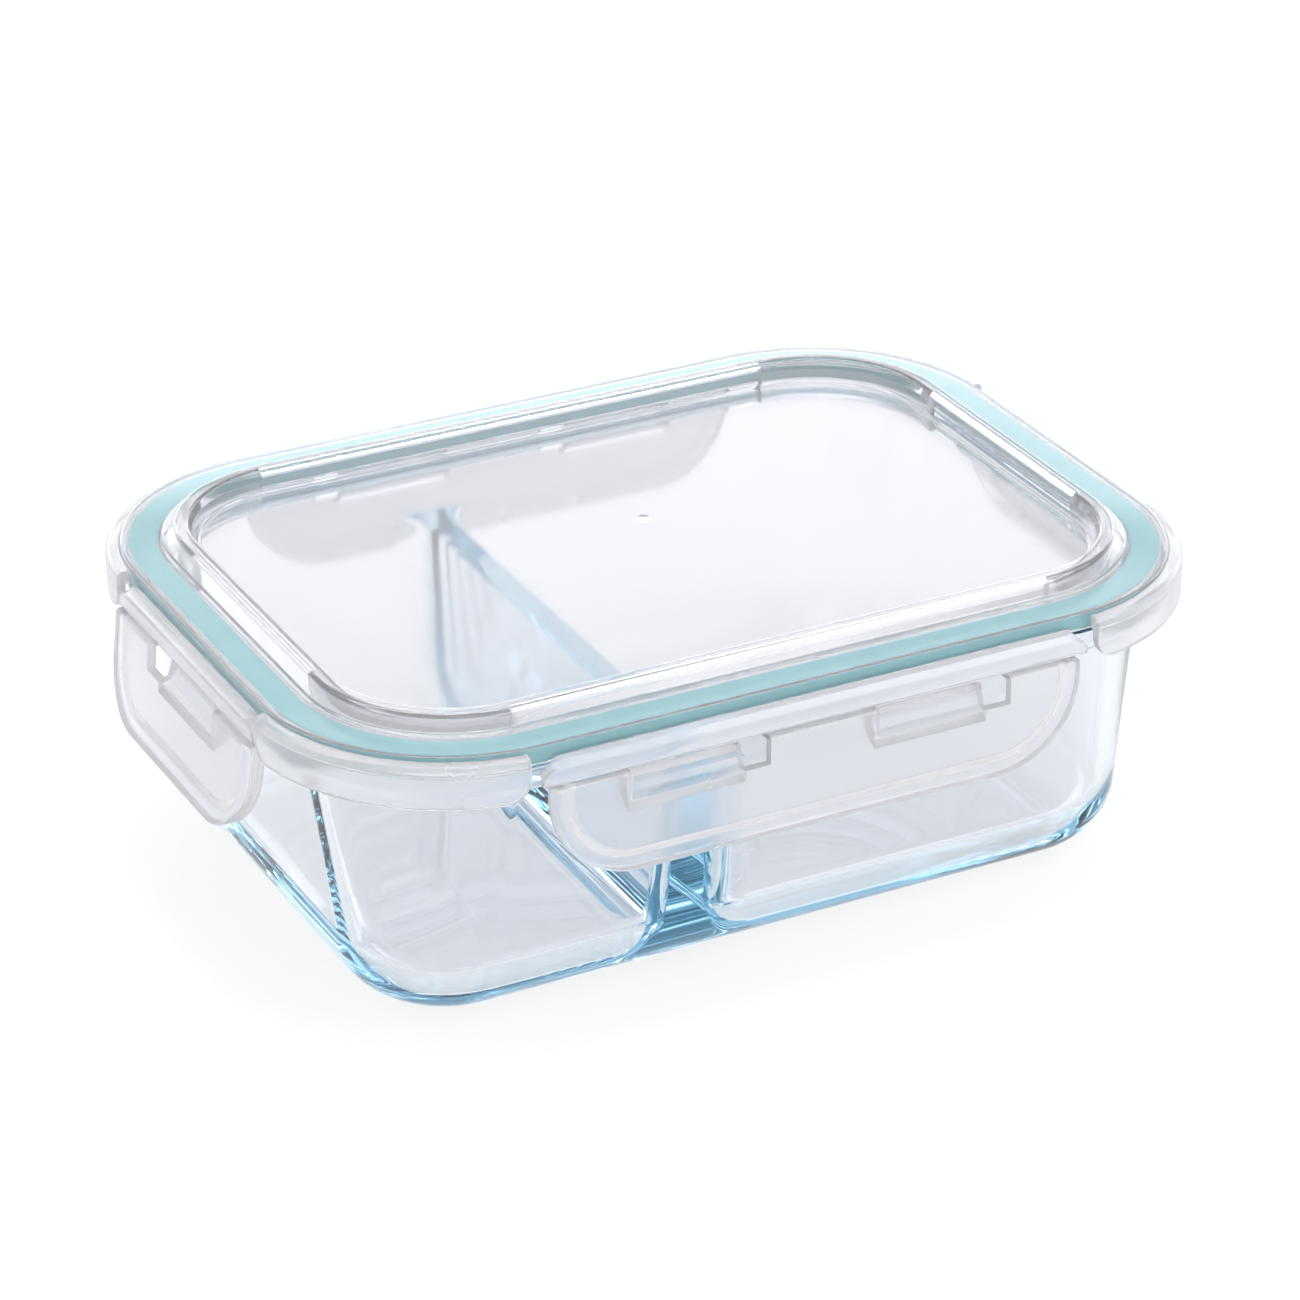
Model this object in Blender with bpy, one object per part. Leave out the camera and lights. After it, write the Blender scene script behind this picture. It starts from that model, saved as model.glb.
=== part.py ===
"""A glass storage container with two compartments, a clear lid that snaps shut, a sealing ring and four locking flaps.

Metres, +Z up, long side along X, standing on z = 0. The flaps hang from the lid's edge, and each one folds
twice: once where its hinge web meets the lid, once where the flap meets the web.
"""

import math

import bmesh
import bpy
from mathutils import Matrix, Vector

# ---- Fits ------------------------------------------------------------------------------------------------
CLEARANCE = 0.0003  # between any two pieces that touch
OVERLAP = 0.0004  # how far a shape that is joined on runs into the other
CORNER_STEPS = 8

# ---- Glass base ------------------------------------------------------------------------------------------
WALL_HALF_X = 0.0958  # outside of the wall, at its top
WALL_HALF_Y = 0.0689
WALL_CORNER = 0.0330
WALL_DRAFT = 0.0047  # how much narrower the wall is where the heel starts
HEEL_RADIUS = 0.0157
HEEL_CORNER = 0.0241
GLASS_HEIGHT = 0.0646
GLASS_WALL = 0.0043
GLASS_FLOOR = 0.0060
INNER_FILLET = 0.0120
FLANGE_X = 0.0062  # how far the rim stands out from the wall, on the short sides and on the long ones
FLANGE_Y = 0.0054
FLANGE_DEPTH = 0.0056
FLANGE_CORNER = 0.0405
HOOK_FACE_RUN = 0.0020  # width of the steep face under the rim that the flaps grip
HOOK_FACE_ANGLE = math.radians(57)
UNDERCUT_ANGLE = math.radians(32)
MOUTH_FLARE = 0.0008
RIM_ROUND = 0.0008

# ---- Divider ---------------------------------------------------------------------------------------------
DIVIDER_X = -0.0200
DIVIDER_RISE = 0.0445  # above the floor
DIVIDER_TOP_WIDTH = 0.0058
DIVIDER_BASE_WIDTH = 0.0090
DIVIDER_FILLET = 0.0080
DIVIDER_ROUND = 0.0014
DIVIDER_END_FILLET = 0.0100

# ---- Lid -------------------------------------------------------------------------------------------------
LID_REACH = 0.00096  # lid edge beyond the glass rim
LID_SEAT = 0.0004  # lid edge above the glass rim
LID_EDGE = 0.0044  # height of the lid's edge
LID_WALL = 0.0017
LID_SLOPE = 0.0004  # fall of the flat over the seal towards the edge
EDGE_ROUND = 0.0009
SEAL_WIDTH = 0.0064
SEAL_HEIGHT = 0.0031
SEAL_CHAMFER = 0.0004
SEAL_LIP = 0.0008  # depth of the groove between the two sealing lips
SEAL_LIP_SLOPE = 0.0011
SEAL_GROOVE_HALF = 0.0007
RIDGE_START = 0.0093  # insets from the lid's edge
RIDGE_CREST = 0.0120
RIDGE_CREST_WIDTH = 0.0028
RIDGE_END = 0.0166
RIDGE_RISE = 0.0030
RIDGE_BREAK = 0.0004  # small bevel on the ridge's edges
HOLLOW_START = 0.0105  # the ridge is hollow underneath, as insets from the lid's edge
HOLLOW_ROOF = 0.0126
HOLLOW_ROOF_END = 0.0139
HOLLOW_END = 0.0157
HOLLOW_SHOULDER = 0.0011  # below the lid's top edge
HOLLOW_DROP = 0.0017  # roof of the hollow below the ridge's crest
PANEL_DROP = 0.0020  # panel top below the lid's edge
PANEL_THICKNESS = 0.0020
GATE_RADIUS = 0.0024
GATE_PLACE = (0.0052, 0.0100)
GATE_DEPTH = 0.0005

# ---- Corner skirts and locating ribs -----------------------------------------------------------------------
SKIRT_REACH = 0.0030
SKIRT_THICKNESS = 0.0019
SKIRT_DEPTH = 0.0063  # below the lid's edge
SKIRT_SHOULDER = 0.0024
SKIRT_DROP = 0.0014  # shoulder's top below the lid's edge
SKIRT_GAP_LONG = 0.0045  # from the end of a flap to the skirt
SKIRT_GAP_SHORT = 0.0005
SKIRT_END_ROUND = 0.0050
RIB_CLEARANCE = 0.00104  # from the inside of the glass
RIB_THICKNESS = 0.0018
RIB_DROP = 0.0047
RIB_GAP_X = 0.0620  # half length of the gap between the ribs on a long side, and on a short one
RIB_GAP_Y = 0.0300

# ---- Hinge webs ------------------------------------------------------------------------------------------
FOLD_LID_OUT = 0.0007  # fold between lid and web: out from the lid's edge, and above its lower side
FOLD_LID_RISE = 0.0019
FOLD_FLAP_OUT = 0.0036  # fold between web and flap: out from the lid's edge, and below its lower side
FOLD_FLAP_DROP = 0.0041
WEB_REACH = 0.0030
WEB_BEVEL = 0.0020
WEB_THICKNESS = 0.0014
WEB_END_CHAMFER = 0.0036
KNOB_WIDTH = 0.0016
KNOB_DROP = 0.0011
KNOB_GAP = 0.0003  # from the end of the flap

# ---- Flaps -----------------------------------------------------------------------------------------------
FLAP_HEIGHT = 0.0226
FLAP_PLATE = 0.0020
FLAP_BORDER = 0.0034  # width of the thick border round the inside
FLAP_BORDER_DEPTH = 0.0040
LONG_HALF = 0.0605
LONG_CORNER = 0.0190
LONG_FACE = ((0.0040, 0), (0.0040, 1))  # how far out, at what share of the way down
SHORT_HALF = 0.0355
SHORT_CORNER = 0.0160
SHORT_FACE = ((0.0040, 0), (0.0043, 0.20), (0.0052, 0.42), (0.0065, 0.80), (0.0072, 0.91), (0.0083, 1))
WINDOW_HEIGHT = 0.0061
LONG_WINDOW = (0.0125, 0.0435)  # from the middle outwards, one at each end
SHORT_WINDOW = (-0.0170, 0.0170)
TONGUE_GAP = 0.0050  # left open at one end of each window
TONGUE_GRIP = 0.0015  # how far the tongue reaches in under the rim
TONGUE_TIP = 0.0013
TONGUE_ROOT = 0.0037
TONGUE_TOP_OUT = 0.0004  # outer edge of the tongue's flat top, from the lid's edge
TONGUE_BACK_OUT = 0.0014

# ---- Sizes that follow -----------------------------------------------------------------------------------
RIM_HALF_X = WALL_HALF_X + FLANGE_X
RIM_HALF_Y = WALL_HALF_Y + FLANGE_Y
FLANGE_LOW = GLASS_HEIGHT - FLANGE_DEPTH
HOOK_FACE_LOW = FLANGE_LOW - HOOK_FACE_RUN * math.tan(HOOK_FACE_ANGLE)
WALL_TOP = HOOK_FACE_LOW - (FLANGE_Y - HOOK_FACE_RUN) * math.tan(UNDERCUT_ANGLE)
LID_HALF_X = RIM_HALF_X + LID_REACH
LID_HALF_Y = RIM_HALF_Y + LID_REACH
LID_CORNER = FLANGE_CORNER + LID_REACH
LID_LOW = GLASS_HEIGHT + LID_SEAT
LID_TOP = LID_LOW + LID_EDGE
SEAL_INSET = LID_WALL + CLEARANCE
SEAL_LOW = GLASS_HEIGHT + CLEARANCE
ROOF_LOW = SEAL_LOW + SEAL_HEIGHT + CLEARANCE
PANEL_TOP = LID_TOP - PANEL_DROP
PANEL_LOW = PANEL_TOP - PANEL_THICKNESS
CREST_Z = LID_TOP + RIDGE_RISE
HOLLOW_TOP = CREST_Z - HOLLOW_DROP
SKIRT_TOP = LID_TOP - SKIRT_DROP
SKIRT_BOTTOM = LID_LOW - SKIRT_DEPTH
SKIRT_GAP_X = LONG_HALF + SKIRT_GAP_LONG
SKIRT_GAP_Y = SHORT_HALF + SKIRT_GAP_SHORT
RIB_INSET = LID_REACH + FLANGE_X + GLASS_WALL + RIB_CLEARANCE
FOLD_LID_Z = LID_LOW + FOLD_LID_RISE
FOLD_FLAP_Z = LID_LOW - FOLD_FLAP_DROP
WEB_LOW = FOLD_FLAP_Z + CLEARANCE
FLAP_TOP = FOLD_FLAP_Z - CLEARANCE
FLAP_BOTTOM = FLAP_TOP - FLAP_HEIGHT
WINDOW_BOTTOM = FLAP_TOP - WINDOW_HEIGHT
FAR = 1.5 * LID_HALF_X

# Turn from the front, distance out to the lid's edge, half length of the flap, width of the web's end knobs.
SIDES = {
    "front": (0, LID_HALF_Y, LONG_HALF, KNOB_WIDTH),
    "right": (90, LID_HALF_X, SHORT_HALF, 0),
    "rear": (180, LID_HALF_Y, LONG_HALF, KNOB_WIDTH),
    "left": (270, LID_HALF_X, SHORT_HALF, 0),
}

for old in list(bpy.data.objects):
    bpy.data.objects.remove(old, do_unlink=True)
CONTAINER = bpy.data.collections.new("Glass storage container")
HELPERS = bpy.data.collections.new("Cutters")
bpy.context.scene.collection.children.link(CONTAINER)
bpy.context.scene.collection.children.link(HELPERS)


def material(name, colour, roughness, transmission):
    made = bpy.data.materials.new(name)
    made.use_nodes = True
    shader = made.node_tree.nodes["Principled BSDF"]
    shader.inputs["Base Color"].default_value = (*colour, 1)
    shader.inputs["Roughness"].default_value = roughness
    shader.inputs["Transmission Weight"].default_value = transmission
    return made


GLASS = ("glass", (0.90, 0.97, 0.97), 0.02, 1.0)
CLEAR = ("clear plastic", (0.96, 0.96, 0.98), 0.05, 0.9)
FROSTED = ("frosted plastic", (0.86, 0.89, 0.92), 0.45, 0.6)
TEAL = ("teal rubber", (0.20, 0.52, 0.56), 0.55, 0.0)


def piece(name, mesh, look=None):
    """An object of the container, or a hidden helper when it has no look."""
    made = bpy.data.objects.new(name, mesh)
    if look is None:
        HELPERS.objects.link(made)
        made.hide_render = True
        made.display_type = "WIRE"
        return made
    CONTAINER.objects.link(made)
    mesh.materials.append(material(f"{name} {look[0]}", *look[1:]))
    mesh.shade_smooth()
    mesh.set_sharp_from_angle(angle=math.radians(32))
    return made


def combine(body, other, operation):
    step = body.modifiers.new(other.name, "BOOLEAN")
    step.operation = operation
    step.solver = "EXACT"
    step.object = other


def rounded(half_x, half_y, corner, z):
    """A rounded rectangle, anticlockwise from above."""
    points = []
    for quarter, (side_x, side_y) in enumerate(((1, 1), (-1, 1), (-1, -1), (1, -1))):
        centre_x = side_x * (half_x - corner)
        centre_y = side_y * (half_y - corner)
        for step in range(CORNER_STEPS + 1):
            turn = math.radians(90) * (quarter + step / CORNER_STEPS)
            points.append((centre_x + corner * math.cos(turn), centre_y + corner * math.sin(turn), z))
    return points


def loft(name, sections, ring=False):
    """A skin through sections with equal numbers of points. A ring joins the last section to the first."""
    shape = bmesh.new()
    rows = [[shape.verts.new(point) for point in section] for section in sections]
    pairs = list(zip(rows, rows[1:]))
    if ring:
        pairs.append((rows[-1], rows[0]))
    else:
        shape.faces.new(rows[0])
        shape.faces.new(rows[-1])
    for one, other in pairs:
        for i in range(len(one)):
            j = (i + 1) % len(one)
            shape.faces.new((one[i], one[j], other[j], other[i]))
    bmesh.ops.recalc_face_normals(shape, faces=shape.faces)
    mesh = bpy.data.meshes.new(name)
    shape.to_mesh(mesh)
    shape.free()
    return mesh


def lid_outline(inset, z):
    return rounded(LID_HALF_X - inset, LID_HALF_Y - inset, LID_CORNER - inset, z)


def prism(name, points, depth, axes):
    """A flat outline made solid, with its x, y and depth turned onto the three axes given."""
    curve = bpy.data.curves.new(name, "CURVE")
    curve.dimensions = "2D"
    curve.fill_mode = "BOTH"
    curve.extrude = depth / 2
    spline = curve.splines.new("POLY")
    spline.points.add(len(points) - 1)
    for corner, (x, y) in zip(spline.points, points):
        corner.co = (x, y, 0, 1)
    spline.use_cyclic_u = True
    drawn = bpy.data.objects.new(name, curve)
    bpy.context.scene.collection.objects.link(drawn)
    mesh = bpy.data.meshes.new_from_object(drawn.evaluated_get(bpy.context.evaluated_depsgraph_get()))
    bpy.data.objects.remove(drawn, do_unlink=True)
    shape = bmesh.new()
    shape.from_mesh(mesh)
    bmesh.ops.remove_doubles(shape, verts=shape.verts, dist=1e-6)
    bmesh.ops.recalc_face_normals(shape, faces=shape.faces)
    shape.to_mesh(mesh)
    shape.free()
    mesh.name = name
    turn = Matrix(axes).transposed().to_4x4()
    mesh.transform(turn)
    return mesh


def block(name, low, high):
    shape = bmesh.new()
    bmesh.ops.create_cube(shape, size=1)
    size = Vector(high) - Vector(low)
    middle = (Vector(high) + Vector(low)) / 2
    bmesh.ops.scale(shape, vec=size, verts=shape.verts)
    bmesh.ops.translate(shape, vec=middle, verts=shape.verts)
    mesh = bpy.data.meshes.new(name)
    shape.to_mesh(mesh)
    shape.free()
    return mesh


def arc(centre, radius, start, end, steps):
    """Points round part of a circle, angles in degrees."""
    turns = [math.radians(start + (end - start) * step / steps) for step in range(steps + 1)]
    return [(centre[0] + radius * math.cos(turn), centre[1] + radius * math.sin(turn)) for turn in turns]


# ---- Glass base ------------------------------------------------------------------------------------------
def glass_outside():
    sections = []
    for grow, z in arc((0, HEEL_RADIUS), HEEL_RADIUS, -90, 0, 6):
        inset = WALL_DRAFT + HEEL_RADIUS - grow
        sections.append(rounded(WALL_HALF_X - inset, WALL_HALF_Y - inset, HEEL_CORNER - HEEL_RADIUS + grow, z))
    sections.append(rounded(WALL_HALF_X, WALL_HALF_Y, WALL_CORNER, WALL_TOP))
    run = HOOK_FACE_RUN
    sections.append(rounded(RIM_HALF_X - run, RIM_HALF_Y - run, FLANGE_CORNER - run, HOOK_FACE_LOW))
    sections.append(rounded(RIM_HALF_X, RIM_HALF_Y, FLANGE_CORNER, FLANGE_LOW))
    for grow, rise in arc((0, 0), RIM_ROUND, 0, 90, 3):
        inset = RIM_ROUND - grow
        z = GLASS_HEIGHT - RIM_ROUND + rise
        sections.append(rounded(RIM_HALF_X - inset, RIM_HALF_Y - inset, FLANGE_CORNER - inset, z))
    return sections


def draft_at(z):
    """How far the outside of the wall stands in from its top at a height."""
    return WALL_DRAFT * (WALL_TOP - z) / (WALL_TOP - HEEL_RADIUS)


def inside_inset(z):
    """How far the inside of the wall stands in from the outside at its top."""
    fillet_top = GLASS_FLOOR + INNER_FILLET
    if z >= fillet_top:
        return GLASS_WALL + draft_at(z)
    drop = min(fillet_top - z, INNER_FILLET)
    return GLASS_WALL + draft_at(fillet_top) + INNER_FILLET - math.sqrt(INNER_FILLET**2 - drop**2)


def glass_inside():
    sections = []
    lowest = WALL_CORNER - GLASS_WALL - INNER_FILLET - (WALL_CORNER - HEEL_CORNER)
    for grow, z in arc((0, GLASS_FLOOR + INNER_FILLET), INNER_FILLET, -90, 0, 5):
        inset = GLASS_WALL + draft_at(GLASS_FLOOR + INNER_FILLET) + INNER_FILLET - grow
        sections.append(rounded(WALL_HALF_X - inset, WALL_HALF_Y - inset, lowest + grow, z))
    corner = WALL_CORNER - GLASS_WALL
    sections.append(rounded(WALL_HALF_X - GLASS_WALL, WALL_HALF_Y - GLASS_WALL, corner, WALL_TOP))
    for z in (GLASS_HEIGHT, GLASS_HEIGHT + 2 * RIM_ROUND):
        flare = MOUTH_FLARE - GLASS_WALL
        sections.append(rounded(WALL_HALF_X + flare, WALL_HALF_Y + flare, corner + MOUTH_FLARE, z))
    return sections


def divider_section(half_width, z):
    wall = WALL_HALF_Y - inside_inset(z) + OVERLAP
    outer = half_width + DIVIDER_END_FILLET
    edge = wall - DIVIDER_END_FILLET
    side = [(outer, -wall - GLASS_WALL / 2)]
    side += arc((outer, -edge), DIVIDER_END_FILLET, 270, 180, 4)
    side += arc((outer, edge), DIVIDER_END_FILLET, 180, 90, 4)
    side += [(outer, wall + GLASS_WALL / 2)]
    points = side + [(-x, y) for x, y in reversed(side)]
    return [(DIVIDER_X + x, y, z) for x, y in points]


def divider_sections():
    foot = GLASS_FLOOR - OVERLAP
    base = DIVIDER_BASE_WIDTH / 2
    sections = [divider_section(base + DIVIDER_FILLET, GLASS_FLOOR / 2)]
    for out, z in arc((base + DIVIDER_FILLET, foot + DIVIDER_FILLET), DIVIDER_FILLET, 270, 180, 5):
        sections.append(divider_section(out, z))
    top = GLASS_FLOOR + DIVIDER_RISE
    width = DIVIDER_TOP_WIDTH / 2
    for out, z in arc((width - DIVIDER_ROUND, top - DIVIDER_ROUND), DIVIDER_ROUND, 0, 90, 3):
        sections.append(divider_section(out, z))
    return sections


glass = piece("glass_base", loft("glass_base", glass_outside()), GLASS)
combine(glass, piece("cut_glass_inside", loft("cut_glass_inside", glass_inside())), "DIFFERENCE")
combine(glass, piece("add_divider", loft("add_divider", divider_sections())), "UNION")

# ---- Sealing ring ----------------------------------------------------------------------------------------
SEAL_OUT = SEAL_INSET
SEAL_IN = SEAL_INSET + SEAL_WIDTH
SEAL_TOP = SEAL_LOW + SEAL_HEIGHT
SEAL_MIDDLE = SEAL_OUT + SEAL_WIDTH / 2
seal_profile = (
    (SEAL_OUT, SEAL_LOW + SEAL_CHAMFER),
    (SEAL_MIDDLE - SEAL_GROOVE_HALF - SEAL_LIP_SLOPE, SEAL_LOW),
    (SEAL_MIDDLE - SEAL_GROOVE_HALF, SEAL_LOW + SEAL_LIP),
    (SEAL_MIDDLE + SEAL_GROOVE_HALF, SEAL_LOW + SEAL_LIP),
    (SEAL_MIDDLE + SEAL_GROOVE_HALF + SEAL_LIP_SLOPE, SEAL_LOW),
    (SEAL_IN, SEAL_LOW + SEAL_CHAMFER),
    (SEAL_IN, SEAL_TOP - SEAL_CHAMFER),
    (SEAL_IN - SEAL_CHAMFER, SEAL_TOP),
    (SEAL_OUT + SEAL_CHAMFER, SEAL_TOP),
    (SEAL_OUT, SEAL_TOP - SEAL_CHAMFER),
)
seal = piece("lid_gasket", loft("lid_gasket", [lid_outline(*point) for point in seal_profile], ring=True), TEAL)

# ---- Lid -------------------------------------------------------------------------------------------------
SEAL_POCKET = SEAL_IN + CLEARANCE
lid_profile = [
    (RIDGE_END, PANEL_LOW),
    (HOLLOW_END, PANEL_LOW),
    (HOLLOW_ROOF_END, HOLLOW_TOP),
    (HOLLOW_ROOF, HOLLOW_TOP),
    (HOLLOW_START, LID_TOP - HOLLOW_SHOULDER),
    (HOLLOW_START, PANEL_LOW),
    (SEAL_POCKET, PANEL_LOW),
    (SEAL_POCKET, ROOF_LOW),
    (LID_WALL, ROOF_LOW),
    (LID_WALL, LID_LOW),
    (0, LID_LOW),
]
for out, rise in arc((0, 0), EDGE_ROUND, 0, 90, 3):
    lid_profile.append((EDGE_ROUND - out, LID_TOP - LID_SLOPE - EDGE_ROUND + rise))
lid_profile += [
    (RIDGE_START, LID_TOP),
    (RIDGE_CREST - RIDGE_BREAK, CREST_Z - RIDGE_BREAK),
    (RIDGE_CREST, CREST_Z),
    (RIDGE_CREST + RIDGE_CREST_WIDTH, CREST_Z),
    (RIDGE_CREST + RIDGE_CREST_WIDTH + RIDGE_BREAK, CREST_Z - RIDGE_BREAK),
    (RIDGE_END, PANEL_TOP + RIDGE_BREAK),
    (RIDGE_END + RIDGE_BREAK, PANEL_TOP),
]
lid = piece("lid_panel", loft("lid_panel", [lid_outline(*point) for point in lid_profile]), CLEAR)

skirt_in = SKIRT_REACH - SKIRT_THICKNESS
skirt_profile = [(-SKIRT_REACH, SKIRT_BOTTOM)]
for out, rise in arc((0, 0), SKIRT_SHOULDER, 0, 80, 4):
    skirt_profile.append((SKIRT_SHOULDER - SKIRT_REACH - out, SKIRT_TOP - SKIRT_SHOULDER + rise))
skirt_profile += [(OVERLAP, SKIRT_TOP), (OVERLAP, LID_LOW + OVERLAP), (-skirt_in, LID_LOW + OVERLAP), (-skirt_in, SKIRT_BOTTOM)]
skirt = piece("add_skirt", loft("add_skirt", [lid_outline(*point) for point in skirt_profile], ring=True))


def skirt_gap(half):
    """The gap that splits the skirt on one pair of sides, with rounded lower ends left on the skirt."""
    low = SKIRT_BOTTOM - OVERLAP
    flare = half + SKIRT_END_ROUND
    right = [(flare, low)] + arc((flare, SKIRT_BOTTOM + SKIRT_END_ROUND), SKIRT_END_ROUND, 270, 180, 4)
    right.append((half, LID_TOP))
    return right + [(-x, y) for x, y in reversed(right)]


ALONG_Y = ((1, 0, 0), (0, 0, 1), (0, -1, 0))
ALONG_X = ((0, 1, 0), (0, 0, 1), (1, 0, 0))
combine(skirt, piece("cut_skirt_long", prism("cut_skirt_long", skirt_gap(SKIRT_GAP_X), 2 * FAR, ALONG_Y)), "DIFFERENCE")
combine(skirt, piece("cut_skirt_short", prism("cut_skirt_short", skirt_gap(SKIRT_GAP_Y), 2 * FAR, ALONG_X)), "DIFFERENCE")
rib_profile = (
    (RIB_INSET, PANEL_LOW - RIB_DROP),
    (RIB_INSET + RIB_THICKNESS, PANEL_LOW - RIB_DROP),
    (RIB_INSET + RIB_THICKNESS, HOLLOW_TOP + OVERLAP),
    (RIB_INSET, HOLLOW_TOP + OVERLAP),
)
rib = piece("add_rib", loft("add_rib", [lid_outline(*point) for point in rib_profile], ring=True))
rib_low = PANEL_LOW - RIB_DROP - OVERLAP
gap_long = block("cut_rib_long", (-RIB_GAP_X, -FAR, rib_low), (RIB_GAP_X, FAR, CREST_Z))
gap_short = block("cut_rib_short", (-FAR, -RIB_GAP_Y, rib_low), (FAR, RIB_GAP_Y, CREST_Z))
combine(rib, piece("cut_rib_long", gap_long), "DIFFERENCE")
combine(rib, piece("cut_rib_short", gap_short), "DIFFERENCE")
combine(lid, skirt, "UNION")
combine(lid, rib, "UNION")

gate = bmesh.new()
bmesh.ops.create_cone(gate, cap_ends=True, segments=24, radius1=GATE_RADIUS, radius2=GATE_RADIUS, depth=2 * GATE_DEPTH)
bmesh.ops.translate(gate, vec=(*GATE_PLACE, PANEL_TOP), verts=gate.verts)
gate_mesh = bpy.data.meshes.new("cut_gate")
gate.to_mesh(gate_mesh)
gate.free()
combine(lid, piece("cut_gate", gate_mesh), "DIFFERENCE")


# ---- Hinge webs and flaps --------------------------------------------------------------------------------
def place(made, angle, hinge):
    """Moves a piece drawn for the front round to its side, with its origin on its hinge."""
    made.data.transform(Matrix.Translation(-Vector(hinge)))
    turn = Matrix.Rotation(math.radians(angle), 4, "Z")
    made.matrix_world = turn @ Matrix.Translation(hinge)
    return made


def across(name, points, edge, length, middle=0):
    """A cross-section given as (out from the lid's edge, height), run along the side."""
    mesh = prism(name, [(out + edge, z) for out, z in points], length, ((0, -1, 0), (0, 0, 1), (-1, 0, 0)))
    mesh.transform(Matrix.Translation((middle, 0, 0)))
    return mesh


def facing(name, points, edge):
    """An outline given as (along, height), run outwards through the flap."""
    mesh = prism(name, points, FAR / 2, ((1, 0, 0), (0, 0, 1), (0, -1, 0)))
    mesh.transform(Matrix.Translation((0, -edge, 0)))
    return mesh


def web_section():
    inner = WEB_REACH - WEB_THICKNESS
    top = FOLD_LID_Z - CLEARANCE
    return (
        (FOLD_LID_OUT / 2, top),
        (WEB_REACH - WEB_BEVEL, top),
        (WEB_REACH, top - WEB_BEVEL),
        (WEB_REACH, WEB_LOW),
        (inner, WEB_LOW),
        (inner, top - WEB_BEVEL - WEB_THICKNESS / 2),
        (FOLD_LID_OUT / 2, top - WEB_THICKNESS),
    )


def make_web(side):
    angle, edge, half, knob_width = SIDES[side]
    hinge = (0, -edge - FOLD_LID_OUT, FOLD_LID_Z)
    name = f"{side}_hinge_web"
    end = half + KNOB_GAP + knob_width if knob_width else half
    web = piece(name, across(name, web_section(), edge, 2 * end), FROSTED)
    top = FOLD_LID_Z
    for sign, tag in ((-1, "a"), (1, "b")):
        corner = ((sign * (end + OVERLAP), top - WEB_END_CHAMFER), (sign * (end + OVERLAP), top), (sign * (end - WEB_END_CHAMFER), top))
        chamfer = piece(f"cut_{name}_{tag}", facing(f"cut_{name}_{tag}", corner, edge))
        combine(web, place(chamfer, angle, hinge), "DIFFERENCE")
        if not knob_width:
            continue
        low = (sign * (half + KNOB_GAP), -edge - WEB_REACH, WEB_LOW - KNOB_DROP)
        high = (sign * end, -edge - WEB_REACH + WEB_THICKNESS, WEB_LOW + OVERLAP)
        span = [sorted(pair) for pair in zip(low, high)]
        knob = piece(f"add_{name}_{tag}", block(f"add_{name}_{tag}", *zip(*span)))
        combine(web, place(knob, angle, hinge), "UNION")
    return place(web, angle, hinge)


def flap_outline(half, corner, inset):
    low = FLAP_BOTTOM + inset
    bend = corner - inset
    side = half - inset
    right = arc((side - bend, low + bend), bend, -90, 0, 8) + [(side, FLAP_TOP - inset)]
    return right + [(-x, z) for x, z in reversed(right)]


def moved(points, step):
    return [(out + step, z) for out, z in points]


def stretched(points):
    """The same line with its two ends run on a little."""
    (x0, z0), (x1, z1) = points[0], points[-1]
    return [(x0, z0 + 2 * OVERLAP), *points[1:-1], (x1, z1 - 2 * OVERLAP)]


def border_line(face):
    """The back of the thick border, which never comes nearer the glass than the lid's edge."""
    return [(max(out - FLAP_BORDER_DEPTH, 0), z) for out, z in face]


def tongue_section(face):
    slope = math.tan(HOOK_FACE_ANGLE)
    drop = CLEARANCE / math.cos(HOOK_FACE_ANGLE)
    rim = -LID_REACH
    tip = rim - TONGUE_GRIP
    tip_top = FLANGE_LOW - TONGUE_GRIP * slope - drop
    lip = rim + CLEARANCE
    lip_top = FLANGE_LOW + CLEARANCE * slope - drop
    root = face[0][0] - FLAP_PLATE / 2
    bottom = WINDOW_BOTTOM - TONGUE_ROOT
    return (
        (tip, tip_top),
        (lip, lip_top),
        (TONGUE_TOP_OUT, lip_top),
        (TONGUE_BACK_OUT, WINDOW_BOTTOM + OVERLAP),
        (root, WINDOW_BOTTOM - OVERLAP / 2),
        (root, bottom),
        (lip, bottom + TONGUE_ROOT / 2),
        (tip, tip_top - TONGUE_TIP),
    )


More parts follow.
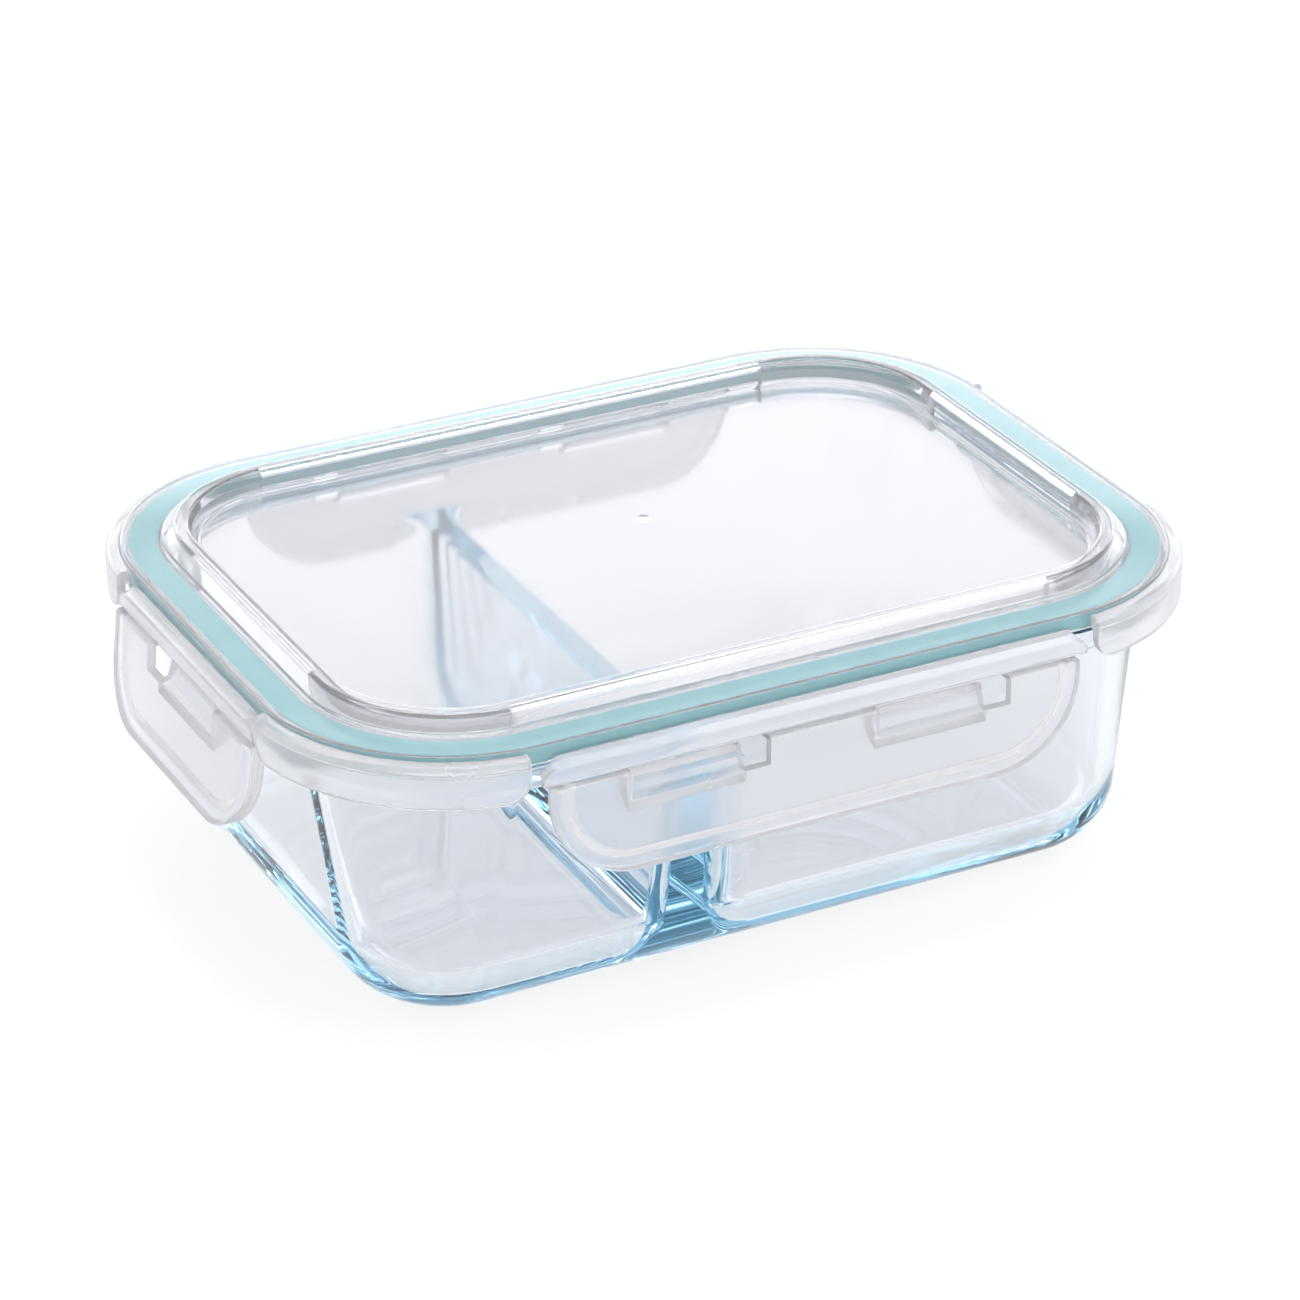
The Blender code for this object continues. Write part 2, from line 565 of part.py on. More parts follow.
def make_flap(side, corner, face, windows, open_end):
    angle, edge, half, _ = SIDES[side]
    hinge = (0, -edge - FOLD_FLAP_OUT, FOLD_FLAP_Z)
    name = f"{side}_locking_flap"
    face = [(out, FLAP_TOP - share * FLAP_HEIGHT) for out, share in face]
    flap = piece(name, facing(name, flap_outline(half, corner, 0), edge), FROSTED)
    line = stretched(face)
    body = line + list(reversed(stretched(border_line(face))))
    shell = piece(f"keep_{name}", across(f"keep_{name}", body, edge, 2 * FAR))
    combine(flap, place(shell, angle, hinge), "INTERSECT")
    back = moved(line, -FLAP_PLATE)
    hollow = back + [(-FLAP_BORDER_DEPTH, back[-1][1]), (-FLAP_BORDER_DEPTH, back[0][1])]
    pocket = piece(f"cut_{name}_pocket", facing(f"cut_{name}_pocket", flap_outline(half, corner, FLAP_BORDER), edge))
    limit = piece(f"keep_{name}_pocket", across(f"keep_{name}_pocket", hollow, edge, 2 * FAR))
    combine(pocket, place(limit, angle, hinge), "INTERSECT")
    combine(flap, place(pocket, angle, hinge), "DIFFERENCE")
    for tag, (start, end) in zip("ab", windows):
        low = (start, -edge - FAR / 4, WINDOW_BOTTOM)
        high = (end, -edge + FAR / 4, FLAP_TOP + OVERLAP)
        window = piece(f"cut_{name}_{tag}", block(f"cut_{name}_{tag}", low, high))
        combine(flap, place(window, angle, hinge), "DIFFERENCE")
        first, last = (start - OVERLAP, end - TONGUE_GAP) if open_end > 0 else (start + TONGUE_GAP, end + OVERLAP)
        tongue = across(f"add_{name}_{tag}", tongue_section(face), edge, last - first, (first + last) / 2)
        combine(flap, place(piece(f"add_{name}_{tag}", tongue), angle, hinge), "UNION")
    return place(flap, angle, hinge)


for side in SIDES:
    make_web(side)
    if side in ("front", "rear"):
        both = [LONG_WINDOW, tuple(-end for end in reversed(LONG_WINDOW))]
        make_flap(side, LONG_CORNER, LONG_FACE, both, 1)
    else:
        make_flap(side, SHORT_CORNER, SHORT_FACE, [SHORT_WINDOW], -1)
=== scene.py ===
import math

import bmesh
import bpy
from mathutils import Matrix, Vector


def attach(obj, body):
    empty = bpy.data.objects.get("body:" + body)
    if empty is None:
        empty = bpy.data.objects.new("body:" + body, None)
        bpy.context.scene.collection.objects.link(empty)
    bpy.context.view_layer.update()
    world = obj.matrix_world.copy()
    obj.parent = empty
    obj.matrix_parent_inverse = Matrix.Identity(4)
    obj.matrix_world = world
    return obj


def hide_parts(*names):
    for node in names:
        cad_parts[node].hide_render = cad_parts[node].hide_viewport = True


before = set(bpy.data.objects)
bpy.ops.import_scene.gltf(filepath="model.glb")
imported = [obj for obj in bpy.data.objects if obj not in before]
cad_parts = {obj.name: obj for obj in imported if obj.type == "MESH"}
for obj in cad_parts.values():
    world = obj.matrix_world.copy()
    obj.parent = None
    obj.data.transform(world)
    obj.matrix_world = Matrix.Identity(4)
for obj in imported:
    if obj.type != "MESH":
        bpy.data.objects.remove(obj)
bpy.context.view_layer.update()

MM = 0.001
CORNER_STEPS = 28  # edges round a quarter of the tub

# ---- Sizes in millimetres, as the frame has them ---------------------------------------------------------
EDGE_X, EDGE_Y, EDGE_CORNER = 102.96, 75.26, 41.46  # the lid's outer edge
RIM_X, RIM_Y, RIM_CORNER = 102.0, 74.3, 40.5  # the glass rim's outer edge
GLASS_TOP = 64.6
FOOT_X, FOOT_Y, FOOT_CORNER, HEEL = 75.4, 48.5, 8.4, 15.7  # the flat the tub stands on, and the curve round it
MOUTH_X, MOUTH_Y, MOUTH_CORNER, MOUTH_LOW = 91.7, 64.8, 28.9, 58.2  # the inside, under the rim
INSIDE_X, INSIDE_Y, INSIDE_CORNER, INSIDE_LOW = 87.1, 60.2, 19.8, 18.0  # the inside, above the floor's fillet
FLOOR_FILLET = 12
DIVIDER_X, DIVIDER_FOOT, DIVIDER_FILLET, DIVIDER_END_FILLET = -20, 12.5, 8, 10

LID_LOW, LID_TOP, CREST = 65.0, 69.4, 72.4
PANEL_LOW, PANEL_TOP = 65.4, 67.4
RIB_NEAR, RIB_FAR, RIB_LOW, RIB_TOP = 12.5, 14.3, 60.7, 71.0
RIB_GAP_X, RIB_GAP_Y = 62, 30  # the ribs leave this half length open on each side
GATE_X, GATE_Y, GATE_Z, GATE_RADIUS = 5.2, 10, 75.0, 8  # the ball that presses the gate mark into the panel
SKIRT_OUT, SKIRT_LOW, SKIRT_ROUND = 3, 58.7, 5
SKIRT_START_Y, SKIRT_END_X = 36, 65  # where a skirt begins on the short side and ends on the long side

FLAP_TOP, FLAP_LOW = 60.6, 38.0
FLAP_HEIGHT = FLAP_TOP - FLAP_LOW
WINDOW_LOW, WINDOW_TOP = 54.5, 62
WEB_TOP, WEB_LOW = 66.6, 61.2
WEB_KNOB = 1.9  # how far the knobs of the long webs stand past the flap
FLARE, FLARE_BANDS = 4.2, 12  # how far the short flaps lean out at the bottom, and the bands that bend
# The side's turn, the distance to the lid's edge there, and half the flap's length.
SIDES = {
    "front": (0, EDGE_Y, 60.5),
    "right": (90, EDGE_X, 35.5),
    "rear": (180, EDGE_Y, 60.5),
    "left": (270, EDGE_X, 35.5),
}
LONG_SIDES = ("front", "rear")
# Each window is (start, end, tongue's start, tongue's end), along the side.
LONG_WINDOWS = [(12.5, 43.5, 12.1, 38.5), (-43.5, -12.5, -43.9, -17.5)]
SHORT_WINDOWS = [(-17, 17, -12, 17.4)]


# ---- Making pieces ---------------------------------------------------------------------------------------
def deselect():
    bpy.ops.object.select_all(action="DESELECT")


def only(piece):
    deselect()
    piece.select_set(True)
    bpy.context.view_layer.objects.active = piece


def open_ends(piece, rows):
    """Takes off the band of faces between the last hoop and the first, and fills both ends."""
    bpy.ops.mesh.select_mode(type="FACE")
    bpy.ops.mesh.select_all(action="DESELECT")
    shape = bmesh.from_edit_mesh(piece.data)
    for face in shape.faces:
        found = {vertex.index % rows for vertex in face.verts}
        face.select_set(found == {0, rows - 1})
    bmesh.update_edit_mesh(piece.data)
    bpy.ops.mesh.delete(type="ONLY_FACE")
    bpy.ops.mesh.select_mode(type="EDGE")
    bpy.ops.mesh.select_all(action="DESELECT")
    shape = bmesh.from_edit_mesh(piece.data)
    for edge in shape.edges:
        edge.select_set(not edge.link_faces)
    bmesh.update_edit_mesh(piece.data)
    bpy.ops.mesh.delete(type="EDGE")
    bpy.ops.mesh.select_all(action="SELECT")
    bpy.ops.mesh.fill_holes(sides=0)


def skin(name, hoops, ring=False):
    """A closed skin over hoops of points. Its ends are filled, unless the last hoop joins the first."""
    deselect()
    bpy.ops.mesh.primitive_torus_add(
        major_segments=len(hoops[0]), minor_segments=len(hoops), major_radius=0.1, minor_radius=0.02
    )
    piece = bpy.context.object
    piece.name = piece.data.name = name
    for i, points in enumerate(zip(*hoops)):
        for k, point in enumerate(points):
            piece.data.vertices[i * len(hoops) + k].co = Vector(point) * MM
    bpy.ops.object.mode_set(mode="EDIT")
    if not ring:
        open_ends(piece, len(hoops))
    bpy.ops.mesh.select_all(action="SELECT")
    bpy.ops.mesh.normals_make_consistent(inside=False)
    bpy.ops.object.mode_set(mode="OBJECT")
    return piece


def soften(points, steps=4):
    """A line of (across, up, radius) with each corner rounded to its radius."""
    line = []
    for i, (x, z, radius) in enumerate(points):
        here = Vector((x, z))
        if radius <= 0 or i in (0, len(points) - 1):
            line.append((x, z))
            continue
        back = Vector(points[i - 1][:2]) - here
        ahead = Vector(points[i + 1][:2]) - here
        half = back.angle(ahead) / 2
        reach = min(radius / math.tan(half), 0.48 * back.length, 0.48 * ahead.length)
        radius = reach * math.tan(half)
        middle = here + (back.normalized() + ahead.normalized()).normalized() * (radius / math.sin(half))
        start = here + back.normalized() * reach - middle
        end = here + ahead.normalized() * reach - middle
        sweep = start.angle_signed(end)
        for step in range(steps + 1):
            turn = -sweep * step / steps
            line.append(tuple(middle + Matrix.Rotation(turn, 2) @ start))
    return line


def around(points, steps=4):
    """As soften, for a closed line."""
    return soften([points[-1], *points, points[0]], steps)[1:-1]


def rounded(half_x, half_y, corner, z):
    """A hoop round a rectangle with rounded corners."""
    points = []
    for quarter, (side_x, side_y) in enumerate(((1, 1), (-1, 1), (-1, -1), (1, -1))):
        for step in range(CORNER_STEPS + 1):
            turn = math.radians(90) * (quarter + step / CORNER_STEPS)
            x = side_x * (half_x - corner) + corner * math.cos(turn)
            y = side_y * (half_y - corner) + corner * math.sin(turn)
            points.append((x, y, z))
    return points


def edge_hoop(inset, z):
    """A hoop this far inside the lid's edge."""
    return rounded(EDGE_X - inset, EDGE_Y - inset, EDGE_CORNER - inset, z)


def arc(centre, radius, start, end, steps):
    turns = [math.radians(start + (end - start) * step / steps) for step in range(steps + 1)]
    return [(centre[0] + radius * math.cos(turn), centre[1] + radius * math.sin(turn)) for turn in turns]


def join_shape(piece, other, operation):
    """Cuts or joins another shape, which is used up."""
    only(piece)
    step = piece.modifiers.new("shape", "BOOLEAN")
    step.operation = operation
    step.solver = "EXACT"
    step.object = other
    bpy.ops.object.modifier_apply(modifier=step.name)
    bpy.data.objects.remove(other, do_unlink=True)


def block(name, low, high):
    """A block between two corners."""
    deselect()
    low, high = Vector(low) * MM, Vector(high) * MM
    bpy.ops.mesh.primitive_cube_add(size=1, location=(low + high) / 2, scale=high - low)
    made = bpy.context.object
    made.name = name
    bpy.ops.object.transform_apply(location=True, rotation=True, scale=True)
    return made


def soften_edges(piece, width, angle):
    only(piece)
    step = piece.modifiers.new("edges", "BEVEL")
    step.width = width * MM
    step.segments = 2
    step.limit_method = "ANGLE"
    step.angle_limit = math.radians(angle)
    step.harden_normals = False
    bpy.ops.object.modifier_apply(modifier=step.name)


def smooth(piece, angle):
    only(piece)
    bpy.ops.object.shade_smooth_by_angle(angle=math.radians(angle))
    step = piece.modifiers.new("flat faces stay flat", "WEIGHTED_NORMAL")
    step.keep_sharp = True
    step.weight = 90
    bpy.ops.object.modifier_apply(modifier=step.name)
    return piece


def finish(piece, look, body, node):
    piece.data.materials.clear()
    piece.data.materials.append(look)
    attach(piece, body)
    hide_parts(node)


# ---- Glass tub -------------------------------------------------------------------------------------------
def tub_hoops():
    """From the foot, up the outside, over the rim and down the inside to the floor."""
    hoops = []
    for grow, z in arc((0, HEEL), HEEL, -90, 0, 22):
        hoops.append(rounded(FOOT_X + grow, FOOT_Y + grow, FOOT_CORNER + grow, z))
    outside = soften([
        (-10.6, 20, 0),
        (-6.2, 57.5, 1.5),
        (-0.6, 59.1, 1.2),
        (0, 61.0, 0.8),
        (0, GLASS_TOP, 0.9),
        (-8.6, GLASS_TOP, 1.4),
        (-9.7, 61.0, 0),
    ])
    for out, z in outside[1:-1]:
        lean = min(max((-out - 0.6) / 5.6, 0), 1)  # from the rim's outline to the wall's
        hoops.append(rounded(RIM_X + out, RIM_Y + out + 0.8 * lean, RIM_CORNER + out - 1.7 * lean, z))
    hoops.append(rounded(MOUTH_X, MOUTH_Y, MOUTH_CORNER, MOUTH_LOW))
    hoops.append(rounded(INSIDE_X, INSIDE_Y, INSIDE_CORNER, INSIDE_LOW))
    for shrink, drop in arc((0, 0), FLOOR_FILLET, 0, -90, 18)[1:]:
        grow = FLOOR_FILLET - shrink
        hoops.append(rounded(INSIDE_X - grow, INSIDE_Y - grow, INSIDE_CORNER - grow, INSIDE_LOW + drop))
    return hoops


def inside_wall(z):
    """Half width of the space between the long walls at a height."""
    if z >= INSIDE_LOW:
        return INSIDE_Y + (MOUTH_Y - INSIDE_Y) * (z - INSIDE_LOW) / (MOUTH_LOW - INSIDE_LOW)
    return INSIDE_Y - FLOOR_FILLET + math.sqrt(max(FLOOR_FILLET**2 - (INSIDE_LOW - z) ** 2, 0))


def divider_hoop(half, z):
    """The divider's outline at a height, flared where it runs into the long walls."""
    wall = inside_wall(z) + 0.5
    fillet = DIVIDER_END_FILLET
    edge = wall - fillet
    side = [(half + fillet, -wall - 2)]
    side += arc((half + fillet, -edge), fillet, 270, 180, 14)
    side += arc((half + fillet, edge), fillet, 180, 90, 14)
    side += [(half + fillet, wall + 2)]
    return [(x + DIVIDER_X, y, z) for x, y in side + [(-x, y) for x, y in reversed(side)]]


def make_tub():
    tub = skin("glass_tub", tub_hoops())
    hoops = [divider_hoop(DIVIDER_FOOT, 3.0)]
    hoops += [divider_hoop(*point) for point in arc((DIVIDER_FOOT, 13.6), DIVIDER_FILLET, 270, 180, 14)]
    hoops += [divider_hoop(*point) for point in arc((1.0, 48.6), 1.9, 0, 75, 5)]
    join_shape(tub, skin("divider", hoops), "UNION")
    return smooth(tub, 30)


# ---- Lid -------------------------------------------------------------------------------------------------
def make_lid():
    """Swept round the edge: the panel's underside, the hollow ridge, the seal's channel, and back over the top."""
    line = soften([
        (24, PANEL_LOW, 0),
        (15.7, PANEL_LOW, 0.8),
        (13.9, 70.7, 0.6),
        (12.6, 70.7, 0.5),
        (10.5, 68.3, 0.6),
        (10.5, PANEL_LOW, 0.3),
        (8.7, PANEL_LOW, 0.3),
        (8.7, 68.3, 0.4),
        (1.7, 68.3, 0.4),
        (1.7, LID_LOW, 0.3),
        (0, LID_LOW, 0.4),
        (0, LID_TOP - 0.4, 0.8),
        (9.3, LID_TOP, 1.0),
        (12.0, CREST, 1.1),
        (14.8, CREST, 0.9),
        (16.6, PANEL_TOP, 1.4),
        (24, PANEL_TOP, 0),
    ])
    lid = skin("lid_shell", [edge_hoop(*point) for point in line])
    corners = (RIB_NEAR, RIB_LOW), (RIB_FAR, RIB_LOW), (RIB_FAR, RIB_TOP), (RIB_NEAR, RIB_TOP)
    rib = skin("ribs", [edge_hoop(*point) for point in corners], ring=True)
    join_shape(rib, block("gap", (-RIB_GAP_X, -90, 59), (RIB_GAP_X, 90, 72)), "DIFFERENCE")
    join_shape(rib, block("gap", (-120, -RIB_GAP_Y, 59), (120, RIB_GAP_Y, 72)), "DIFFERENCE")
    join_shape(lid, rib, "UNION")
    deselect()
    bpy.ops.mesh.primitive_uv_sphere_add(
        segments=32, ring_count=16, radius=GATE_RADIUS * MM, location=(GATE_X * MM, GATE_Y * MM, GATE_Z * MM)
    )
    join_shape(lid, bpy.context.object, "DIFFERENCE")
    return smooth(lid, 30)


def make_seal():
    """A ring with a groove along its underside, where it presses on the glass rim."""
    line = around([
        (2.0, 64.9, 0.4),
        (4.4, 64.9, 0.5),
        (4.9, 65.5, 0.3),
        (5.5, 65.5, 0.3),
        (6.0, 64.9, 0.5),
        (8.4, 64.9, 0.4),
        (8.4, 68.0, 0.5),
        (2.0, 68.0, 0.5),
    ])
    return smooth(skin("seal_ring", [edge_hoop(*point) for point in line], ring=True), 40)


def make_skirts():
    """The four frosted skirts hang from the lid's corners, each swept round its corner."""
    centre_x, centre_y = EDGE_X - EDGE_CORNER, EDGE_Y - EDGE_CORNER
    outer = EDGE_CORNER + SKIRT_OUT
    first = math.asin((SKIRT_START_Y - centre_y) / outer)
    last = math.acos((SKIRT_END_X - centre_x) / outer)
    length = outer * (last - first)
    ends = [0, 0.15, 0.5, 1, 1.8, 2.8, 4, SKIRT_ROUND]
    stations = ends + [SKIRT_ROUND + (length - 2 * SKIRT_ROUND) * k / 26 for k in range(1, 26)]
    stations += [length - s for s in reversed(ends)]
    hoops = []
    for s in stations:
        short = SKIRT_ROUND - min(s, length - s, SKIRT_ROUND)  # how far inside the rounded end
        low = SKIRT_LOW + (SKIRT_ROUND - math.sqrt(SKIRT_ROUND**2 - short**2)) * 0.98
        turn = first + s / outer
        section = around([
            (1.1, low, 0.4),
            (SKIRT_OUT, low, 0.6),
            (SKIRT_OUT, 68.0, 2.6),
            (0.05, 68.2, 0.2),
            (0.05, 65.4, 0.2),
            (1.1, 65.2, 0.4),
        ], 5)
        hoop = []
        for out, z in section:
            radius = EDGE_CORNER + out
            hoop.append((centre_x + radius * math.cos(turn), centre_y + radius * math.sin(turn), z))
        hoops.append(hoop)
    made = []
    for k, (flip_x, flip_y) in enumerate(((1, 1), (-1, 1), (-1, -1), (1, -1))):
        turned = [[(flip_x * x, flip_y * y, z) for x, y, z in hoop] for hoop in hoops]
        made.append(smooth(skin(f"corner_skirt_{k + 1}", turned), 40))
    return made


# ---- Webs and flaps, drawn for the front and turned round to their side -----------------------------------
def turn_to(piece, angle):
    only(piece)
    piece.data.transform(Matrix.Rotation(math.radians(angle), 4, "Z"))
    return piece


def make_web(side):
    angle, edge, half = SIDES[side]
    end = half + WEB_KNOB if side in LONG_SIDES else half
    section = around([
        (0.4, WEB_TOP, 0.15),
        (1.0, WEB_TOP, 0.3),
        (3.0, 64.6, 0.5),
        (3.0, WEB_LOW, 0.3),
        (1.6, WEB_LOW, 0.3),
        (1.6, 63.9, 0.6),
        (0.4, 65.2, 0.3),
    ], 3)
    bend = 3.6  # the ends fall away over this length
    inward = [0, 0.3, 1.9, bend, 5]
    hoops = []
    for u in [-end + step for step in inward] + [0] + [end - step for step in reversed(inward)]:
        cap = WEB_TOP - max(bend - (end - abs(u)), 0)
        heights = [min(z, max(cap, WEB_LOW + 0.4 + 0.3 * (z - WEB_LOW))) for _, z in section]
        hoops.append([(u, -edge - out, z) for (out, _), z in zip(section, heights)])
    web = skin(f"{side}_web", hoops)
    return turn_to(smooth(web, 35), angle)


def flap_outline(half, corner, inset, depth, edge):
    low, bend, end = FLAP_LOW + inset, max(corner - inset, 0.5), half - inset
    top, small = FLAP_TOP - min(inset, 1.2), 0.8
    right = arc((end - bend, low + bend), bend, -90, 0, 14) + arc((end - small, top - small), small, 0, 90, 4)
    outline = right + [(-x, z) for x, z in reversed(right)]
    return [(x, -edge - depth, z) for x, z in outline]


def lean_out(flap):
    """Bends the short flaps, whose lower edge stands away from the glass."""
    only(flap)
    bpy.ops.object.mode_set(mode="EDIT")
    for k in range(1, FLARE_BANDS):
        bpy.ops.mesh.select_all(action="SELECT")
        height = (FLAP_TOP - FLAP_HEIGHT * k / FLARE_BANDS) * MM
        bpy.ops.mesh.bisect(plane_co=(0, 0, height), plane_no=(0, 0, 1))
    bpy.ops.object.mode_set(mode="OBJECT")
    for vertex in flap.data.vertices:
        drop = max(FLAP_TOP - vertex.co.z / MM, 0)
        vertex.co.y -= FLARE * (drop / FLAP_HEIGHT) ** 1.6 * MM


def make_flap(side, corner, windows):
    angle, edge, half = SIDES[side]
    # A plate with a hollow back: (inset, distance out), from its outer face round the edge and into the hollow.
    steps = [(0.9, 4.0), (0.45, 3.9), (0.15, 3.65), (0, 3.2), (0, 0.5), (0.15, 0.2), (0.5, 0), (1.8, 0)]
    steps += [(2.4, 0.1), (3.0, 0.45), (3.5, 1.0), (4.0, 1.55), (4.6, 1.9), (5.2, 2.0)]
    flap = skin(f"{side}_flap", [flap_outline(half, corner, inset, depth, edge) for inset, depth in steps])
    tongue = around([
        (-2.46, 56.14, 0.3),
        (-0.66, 58.9, 0.4),
        (0.4, 58.9, 0.3),
        (1.4, 54.9, 0.5),
        (3.0, 54.3, 0),
        (3.0, 50.8, 0),
        (-0.66, 52.7, 0.6),
        (-2.46, 54.8, 0.3),
    ], 3)
    for start, end, first, last in windows:
        cut = block("window", (start, -edge - 12, WINDOW_LOW), (end, -edge + 12, WINDOW_TOP))
        join_shape(flap, cut, "DIFFERENCE")
        hoops = [[(u, -edge - out, z) for out, z in tongue] for u in (first, (first + last) / 2, last)]
        join_shape(flap, skin("tongue", hoops), "UNION")
    if side not in LONG_SIDES:
        lean_out(flap)
    soften_edges(flap, 0.25, 50)
    return turn_to(smooth(flap, 35), angle)


# ---- Looks -----------------------------------------------------------------------------------------------
class Value:
    """A number in a material, which takes Python's arithmetic."""

    def __init__(self, look, socket):
        self.look, self.socket = look, socket

    def __add__(self, other):
        return self.look.number("ADD", self, other)

    __radd__ = __add__

    def __mul__(self, other):
        return self.look.number("MULTIPLY", self, other)

    __rmul__ = __mul__

    def __sub__(self, other):
        return self.look.number("SUBTRACT", self, other)

    def __rsub__(self, other):
        return self.look.number("SUBTRACT", other, self)


class Look:
    """A material whose nodes are added one call at a time."""

    def __init__(self, name):
        self.material = bpy.data.materials.new(name)
        self.material.use_nodes = True
        self.tree = self.material.node_tree
        self.tree.nodes.clear()
        self.out = self.tree.nodes.new("ShaderNodeOutputMaterial")

    def node(self, kind, **inputs):
        made = self.tree.nodes.new(f"ShaderNode{kind}")
        for key, value in inputs.items():
            self.feed(made.inputs[key.replace("_", " ")], value)
        return made

    def feed(self, socket, value):
        if isinstance(value, Value):
            value = value.socket
        if isinstance(value, bpy.types.NodeSocket):
            self.tree.links.new(value, socket)
        else:
            socket.default_value = value

    def number(self, operation, first, second):
        made = self.node("Math")
        made.operation = operation
        self.feed(made.inputs[0], first)
        self.feed(made.inputs[1], second)
        return Value(self, made.outputs[0])

    def noise(self, scale, detail=2.0):
        place = self.node("TexCoord").outputs["Object"]
        made = self.node("TexNoise", Vector=place, Scale=scale, Detail=detail)
        return Value(self, made.outputs["Fac"])

    def ramp(self, value, first, last):
        """A colour between two stops of (place, colour)."""
        made = self.node("ValToRGB", Fac=value)
        for element, (place, colour) in zip(made.color_ramp.elements, (first, last)):
            element.position, element.color = place, colour
        return made.outputs[0]

    def surface(self, **inputs):
        shader = self.node("BsdfPrincipled", **inputs)
        self.tree.links.new(shader.outputs[0], self.out.inputs["Surface"])
        return self.material


def clear_glass():
    """Faintly waved on the surface, and blue-green where light runs far through it."""
    look = Look("pressed glass")
    bump = look.node("Bump", Strength=0.05, Distance=0.0004, Height=look.noise(60.0, 1.0))
    depth = look.node("VolumeAbsorption", Color=(0.10, 0.67, 0.88, 1), Density=9.5)
    look.tree.links.new(depth.outputs[0], look.out.inputs["Volume"])
    return look.surface(
        Base_Color=(0.92, 0.908, 0.932, 1), Roughness=0.0, IOR=1.5, Transmission_Weight=1.0, Normal=bump.outputs[0]
    )


def clear_plastic():
    """Slightly milky, with a haze that varies."""
    look = Look("clear plastic")
    haze = look.noise(25.0) * 0.03 + 0.06
    return look.surface(Base_Color=(0.93, 0.924, 0.944, 1), Roughness=haze, IOR=1.49, Transmission_Weight=0.90)


def frosted_plastic():
    look = Look("frosted plastic")
    grain = look.noise(60.0, 1.0) * 0.06 + 0.23
    return look.surface(Base_Color=(0.94, 0.943, 0.968, 1), Roughness=grain, IOR=1.45, Transmission_Weight=0.80)


def teal_rubber():
    look = Look("teal rubber")
    tone = look.ramp(look.noise(120.0), (0.3, (0.14, 0.71, 0.75, 1)), (0.7, (0.18, 0.76, 0.80, 1)))
    return look.surface(Base_Color=tone, Roughness=0.42, IOR=1.42)


glass = clear_glass()
clear = clear_plastic()
frosted = frosted_plastic()
teal = teal_rubber()

finish(make_tub(), glass, "base", "glass_base")
finish(make_lid(), clear, "lid", "lid_panel")
for skirt in make_skirts():
    finish(skirt, frosted, "lid", "lid_panel")
finish(make_seal(), teal, "lid", "lid_gasket")
for side in SIDES:
    finish(make_web(side), frosted, f"{side}_web", f"{side}_hinge_web")
    if side in LONG_SIDES:
        flap = make_flap(side, 19.0, LONG_WINDOWS)
    else:
        flap = make_flap(side, 16.0, SHORT_WINDOWS)
    finish(flap, frosted, f"{side}_flap", f"{side}_locking_flap")

# ---- Floor, light and camera -----------------------------------------------------------------------------
deselect()
bpy.ops.mesh.primitive_plane_add(size=12, location=(0, 0, -0.0002))
floor = bpy.context.object
floor.name = "floor"
paper = Look("white paper")
floor.data.materials.append(paper.surface(
    Base_Color=(0.24, 0.24, 0.24, 1),
    Roughness=paper.noise(3.0) * 0.01 + 0.6,
    Specular_IOR_Level=0.0,
    Emission_Color=(1, 1, 1, 1),
    Emission_Strength=0.785,
))

world = bpy.data.worlds.new("studio")
bpy.context.scene.world = world
world.use_nodes = True
sky = world.node_tree
direction = sky.nodes.new("ShaderNodeSeparateXYZ")
sky.links.new(sky.nodes.new("ShaderNodeTexCoord").outputs["Generated"], direction.inputs[0])


def sky_node(kind, settings, *inputs):
    made = sky.nodes.new(f"ShaderNode{kind}")
    for key, value in settings.items():
        setattr(made, key, value)
    for k, value in enumerate(inputs):
        if isinstance(value, bpy.types.NodeSocket):
            sky.links.new(value, made.inputs[k])
        else:
            made.inputs[k].default_value = value
    return made.outputs[0]


def fade(value, start, end):
    return sky_node("MapRange", {"interpolation_type": "SMOOTHSTEP"}, value, start, end, 0.0, 1.0)


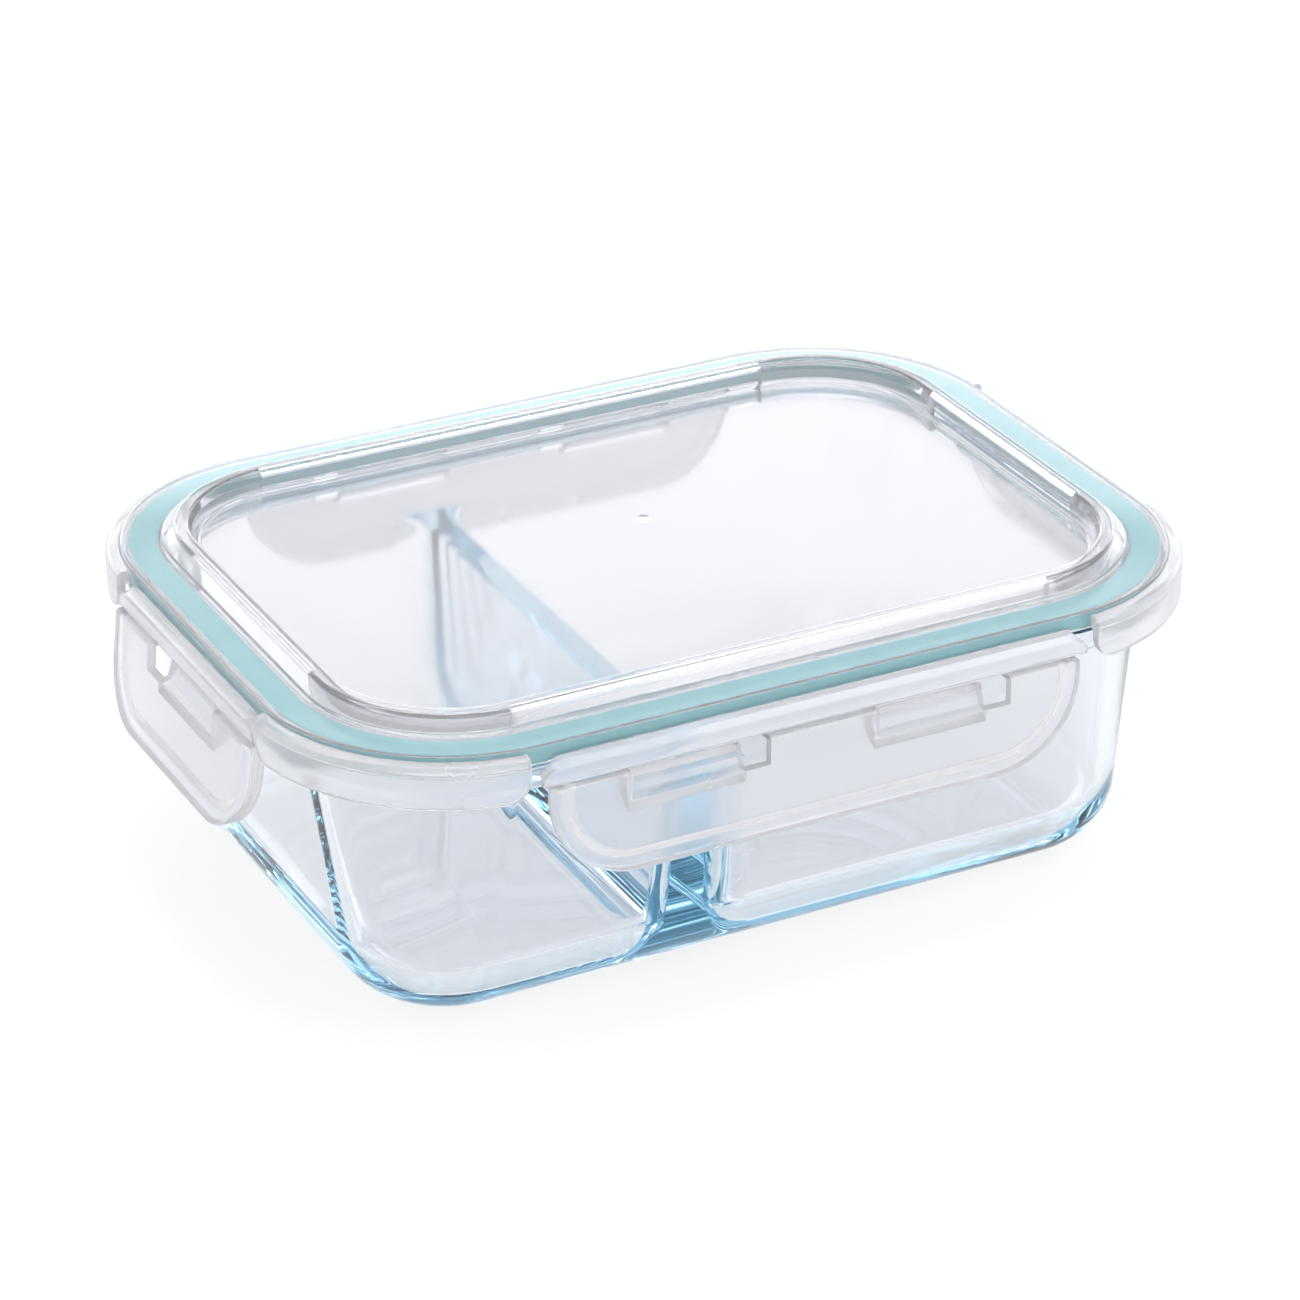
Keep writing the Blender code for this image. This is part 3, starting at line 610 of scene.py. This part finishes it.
def times(one, other):
    return sky_node("Math", {"operation": "MULTIPLY"}, one, other)


def plus(one, other):
    return sky_node("Math", {"operation": "ADD"}, one, other)


# A bright backdrop low behind the container, a paler wall on the near side, and an even room round them.
height = direction.outputs["Z"]
away = plus(times(direction.outputs["X"], 0.46), times(direction.outputs["Y"], 0.88))
backdrop = times(times(fade(height, 0.42, 0.34), fade(away, 0.3, 0.75)), 2.1)
near_side = times(times(fade(away, 0.1, -0.6), fade(height, 0.55, 0.3)), 0.6)
level = plus(plus(backdrop, 0.9), plus(near_side, times(fade(height, 0.5, 0.42), 0.12)))
sky.links.new(level, sky.nodes["Background"].inputs["Strength"])
sky.nodes["Background"].inputs["Color"].default_value = (0.985, 0.985, 1.0, 1)


def lamp(name, place, target, size, power):
    """A square softbox turned to its target."""
    data = bpy.data.lights.new(name, "AREA")
    data.shape = "RECTANGLE"
    data.size = data.size_y = size
    data.energy = power
    made = bpy.data.objects.new(name, data)
    bpy.context.scene.collection.objects.link(made)
    made.location = place
    made.rotation_euler = (Vector(target) - Vector(place)).to_track_quat("-Z", "Y").to_euler()


lamp("softbox above", (0.0, 0.05, 1.2), (0, 0, 0.05), 0.6, 4.5)
lamp("softbox front right", (0.45, -0.5, 0.87), (0, 0, 0.05), 0.35, 1.6)

AZIMUTH, ELEVATION, DISTANCE = math.radians(-27.57), math.radians(27.28), 1.00775
TARGET = Vector((0.001604, 0, 0.040742))
level_reach = math.cos(ELEVATION)
back = Vector((math.sin(AZIMUTH) * level_reach, -math.cos(AZIMUTH) * level_reach, math.sin(ELEVATION)))
lens = bpy.data.cameras.new("camera")
lens.lens = 129.31
lens.sensor_width = 36
camera = bpy.data.objects.new("camera", lens)
bpy.context.scene.collection.objects.link(camera)
camera.location = TARGET + DISTANCE * back
camera.rotation_euler = back.to_track_quat("Z", "Y").to_euler()
bpy.context.scene.camera = camera
bpy.context.scene.view_settings.view_transform = "Standard"
bounces = bpy.context.scene.cycles
bounces.max_bounces = bounces.transmission_bounces = bounces.glossy_bounces = 24  # light crosses many clear walls
